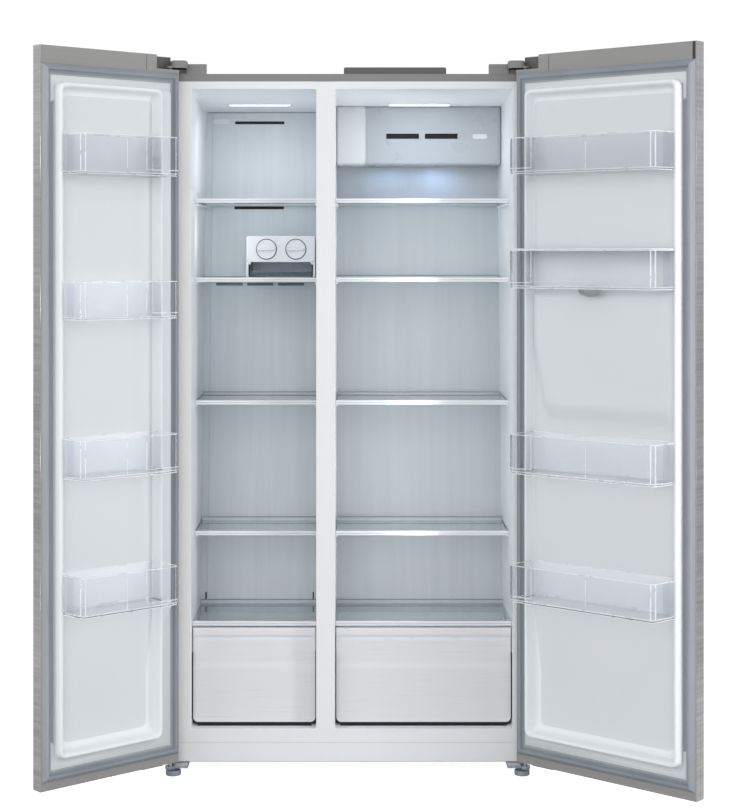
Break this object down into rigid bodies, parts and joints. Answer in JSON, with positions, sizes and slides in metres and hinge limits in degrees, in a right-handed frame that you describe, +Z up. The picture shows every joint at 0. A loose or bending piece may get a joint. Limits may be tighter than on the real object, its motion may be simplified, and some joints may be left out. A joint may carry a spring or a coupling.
{
  "type": "side by side refrigerator",
  "caption": "Free-standing side by side refrigerator with both doors open, glass shelves, drawers, door bins, a twist ice maker and a tank fed water dispenser.",
  "frame": {"origin": "floor level under the cabinet's front face, midway across its width", "axes": "+X to the right seen from the front, +Y into the cabinet, +Z up"},
  "size_m": [1.5631, 0.9996, 1.786],
  "materials": {
    "wrapper_grey": "satin grey steel wrapper",
    "rear_zinc": "galvanised sheet",
    "base_zinc": "galvanised sheet",
    "foam_yellow": "rigid foam",
    "liner_white": "vacuum formed liner",
    "front_white": "white steel",
    "compressor_black": "black enamel",
    "coil_black": "black tube",
    "motor_grey": "moulded",
    "coil_aluminium": "finned coil",
    "panel_white": "moulded panel",
    "cover_grey": "moulded cover",
    "lamp_white": "light bar",
    "inlet_black": "moulded",
    "hinge_steel": "grey steel",
    "hinge_zinc": "zinc plated",
    "shelf_glass": "toughened glass with white trims",
    "door_steel": "horizontal brushing",
    "cap_grey": "moulded end cap",
    "gasket_grey": "soft magnetic gasket",
    "drawer_white": "moulded drawer",
    "ice_white": "moulded",
    "ice_bin_smoke": "smoky clear plastic",
    "bin_clear": "clear plastic",
    "lid_white": "moulded lid",
    "niche_grey": "moulded recess",
    "paddle_grey": "moulded lever",
    "foot_grey": "moulded foot",
    "roller_black": "moulded rollers",
    "fan_white": "moulded fan"
  },
  "bodies": {
    "cabinet": {"cabinet_shell": "wrapper_grey", "rear_panel": "rear_zinc", "base_frame": "base_zinc", "insulation_foam": "foam_yellow", "freezer_liner": "liner_white", "fridge_liner": "liner_white", "mullion_front": "front_white", "kick_plate": "front_white", "compressor": "compressor_black", "condenser_coil": "coil_black", "machine_room_cover": "rear_zinc", "evaporator_fan_motor": "motor_grey", "evaporator_coil": "coil_aluminium", "evaporator_cover": "panel_white", "fridge_duct_box": "panel_white", "top_covers": "cover_grey", "lamp_bars": "lamp_white", "power_inlet": "inlet_black", "top_hinges": "hinge_steel", "bottom_hinges": "hinge_zinc", "drawer_covers": "shelf_glass", "ice_maker_housing": "ice_white"},
    "freezer_door": {"freezer_door_skin": "door_steel", "freezer_door_end_caps": "cap_grey", "freezer_door_foam": "foam_yellow", "freezer_door_gasket": "gasket_grey", "freezer_door_liner": "liner_white"},
    "fridge_door": {"fridge_door_skin": "door_steel", "fridge_door_end_caps": "cap_grey", "fridge_door_foam": "foam_yellow", "fridge_door_gasket": "gasket_grey", "fridge_door_liner": "liner_white", "dispenser_niche": "niche_grey"},
    "freezer_drawer": {"freezer_drawer": "drawer_white"},
    "fridge_drawer": {"fridge_drawer": "drawer_white"},
    "ice_tray_left": {"ice_tray_left": "ice_white"},
    "ice_tray_right": {"ice_tray_right": "ice_white"},
    "ice_bin": {"ice_bin": "ice_bin_smoke"},
    "water_tank": {"water_tank": "bin_clear"},
    "tank_lid": {"tank_lid": "lid_white"},
    "dispenser_paddle": {"dispenser_paddle": "paddle_grey"},
    "foot_left": {"foot_left": "foot_grey"},
    "foot_right": {"foot_right": "foot_grey"},
    "rear_rollers": {"rear_rollers": "roller_black"},
    "evaporator_fan": {"evaporator_fan": "fan_white"},
    "freezer_shelf_1": {"freezer_shelf_1": "shelf_glass"},
    "freezer_shelf_2": {"freezer_shelf_2": "shelf_glass"},
    "freezer_shelf_3": {"freezer_shelf_3": "shelf_glass"},
    "freezer_shelf_4": {"freezer_shelf_4": "shelf_glass"},
    "fridge_shelf_1": {"fridge_shelf_1": "shelf_glass"},
    "fridge_shelf_2": {"fridge_shelf_2": "shelf_glass"},
    "fridge_shelf_3": {"fridge_shelf_3": "shelf_glass"},
    "fridge_shelf_4": {"fridge_shelf_4": "shelf_glass"},
    "freezer_bin_1": {"freezer_bin_1": "bin_clear"},
    "freezer_bin_2": {"freezer_bin_2": "bin_clear"},
    "freezer_bin_3": {"freezer_bin_3": "bin_clear"},
    "freezer_bin_4": {"freezer_bin_4": "bin_clear"},
    "fridge_bin_1": {"fridge_bin_1": "bin_clear"},
    "fridge_bin_2": {"fridge_bin_2": "bin_clear"},
    "fridge_bin_3": {"fridge_bin_3": "bin_clear"}
  },
  "joints": [
    {"name": "freezer_door_swing", "type": "hinge", "parent": "cabinet", "child": "freezer_door", "pos_m": [-0.441, -0.03, 0.9], "axis": [0, 0, -1], "range_deg": [-138.8, 0]},
    {"name": "fridge_door_swing", "type": "hinge", "parent": "cabinet", "child": "fridge_door", "pos_m": [0.441, -0.03, 0.9], "axis": [0, 0, 1], "range_deg": [-138.8, 0]},
    {"name": "freezer_drawer_slide", "type": "slide", "parent": "cabinet", "child": "freezer_drawer", "axis": [0, -1, 0], "range_m": [0, 0.19]},
    {"name": "fridge_drawer_slide", "type": "slide", "parent": "cabinet", "child": "fridge_drawer", "axis": [0, -1, 0], "range_m": [0, 0.19]},
    {"name": "freezer_shelf_1_slide", "type": "slide", "parent": "cabinet", "child": "freezer_shelf_1", "axis": [0, -1, 0], "range_m": [0, 0.2]},
    {"name": "freezer_shelf_2_slide", "type": "slide", "parent": "cabinet", "child": "freezer_shelf_2", "axis": [0, -1, 0], "range_m": [0, 0.2]},
    {"name": "freezer_shelf_3_slide", "type": "slide", "parent": "cabinet", "child": "freezer_shelf_3", "axis": [0, -1, 0], "range_m": [0, 0.2]},
    {"name": "freezer_shelf_4_slide", "type": "slide", "parent": "cabinet", "child": "freezer_shelf_4", "axis": [0, -1, 0], "range_m": [0, 0.2]},
    {"name": "fridge_shelf_1_slide", "type": "slide", "parent": "cabinet", "child": "fridge_shelf_1", "axis": [0, -1, 0], "range_m": [0, 0.2]},
    {"name": "fridge_shelf_2_slide", "type": "slide", "parent": "cabinet", "child": "fridge_shelf_2", "axis": [0, -1, 0], "range_m": [0, 0.2]},
    {"name": "fridge_shelf_3_slide", "type": "slide", "parent": "cabinet", "child": "fridge_shelf_3", "axis": [0, -1, 0], "range_m": [0, 0.2]},
    {"name": "fridge_shelf_4_slide", "type": "slide", "parent": "cabinet", "child": "fridge_shelf_4", "axis": [0, -1, 0], "range_m": [0, 0.2]},
    {"name": "freezer_bin_1_lift", "type": "slide", "parent": "freezer_door", "child": "freezer_bin_1", "axis": [0, 0, 1], "range_m": [0, 0.04]},
    {"name": "freezer_bin_2_lift", "type": "slide", "parent": "freezer_door", "child": "freezer_bin_2", "axis": [0, 0, 1], "range_m": [0, 0.04]},
    {"name": "freezer_bin_3_lift", "type": "slide", "parent": "freezer_door", "child": "freezer_bin_3", "axis": [0, 0, 1], "range_m": [0, 0.04]},
    {"name": "freezer_bin_4_lift", "type": "slide", "parent": "freezer_door", "child": "freezer_bin_4", "axis": [0, 0, 1], "range_m": [0, 0.04]},
    {"name": "fridge_bin_1_lift", "type": "slide", "parent": "fridge_door", "child": "fridge_bin_1", "axis": [0, 0, 1], "range_m": [0, 0.04]},
    {"name": "fridge_bin_2_lift", "type": "slide", "parent": "fridge_door", "child": "fridge_bin_2", "axis": [0, 0, 1], "range_m": [0, 0.025]},
    {"name": "fridge_bin_3_lift", "type": "slide", "parent": "fridge_door", "child": "fridge_bin_3", "axis": [0, 0, 1], "range_m": [0, 0.04]},
    {"name": "water_tank_lift", "type": "slide", "parent": "fridge_door", "child": "water_tank", "axis": [0, 0, 1], "range_m": [0, 0.04]},
    {"name": "tank_lid_hinge", "type": "hinge", "parent": "water_tank", "child": "tank_lid", "pos_m": [0.58748, -0.23918, 1.3075], "axis": [-0.7524, 0.6587, 0], "range_deg": [0, 75]},
    {"name": "dispenser_paddle_push", "type": "hinge", "parent": "fridge_door", "child": "dispenser_paddle", "pos_m": [0.61344, -0.1989, 1.123], "axis": [-0.7524, 0.6587, 0], "range_deg": [0, 5], "stiffness_Nm_per_rad": 0.3},
    {"name": "ice_tray_left_twist", "type": "hinge", "parent": "cabinet", "child": "ice_tray_left", "pos_m": [-0.21, 0.144, 1.3085], "axis": [0, 1, 0], "range_deg": [0, 150], "stiffness_Nm_per_rad": 0.04},
    {"name": "ice_tray_right_twist", "type": "hinge", "parent": "cabinet", "child": "ice_tray_right", "pos_m": [-0.134, 0.144, 1.3085], "axis": [0, 1, 0], "range_deg": [0, 150], "stiffness_Nm_per_rad": 0.04},
    {"name": "ice_bin_slide", "type": "slide", "parent": "cabinet", "child": "ice_bin", "axis": [0, -1, 0], "range_m": [0, 0.16]},
    {"name": "foot_left_screw", "type": "hinge", "parent": "cabinet", "child": "foot_left", "pos_m": [-0.434, -0.015, 0.02], "axis": [0, 0, 1], "continuous": true},
    {"name": "foot_right_screw", "type": "hinge", "parent": "cabinet", "child": "foot_right", "pos_m": [0.434, -0.015, 0.02], "axis": [0, 0, 1], "continuous": true},
    {"name": "rear_roller_spin", "type": "hinge", "parent": "cabinet", "child": "rear_rollers", "pos_m": [0, 0.54, 0.02], "axis": [1, 0, 0], "continuous": true},
    {"name": "evaporator_fan_spin", "type": "hinge", "parent": "cabinet", "child": "evaporator_fan", "pos_m": [-0.2351, 0.496, 1], "axis": [0, 1, 0], "continuous": true}
  ]
}
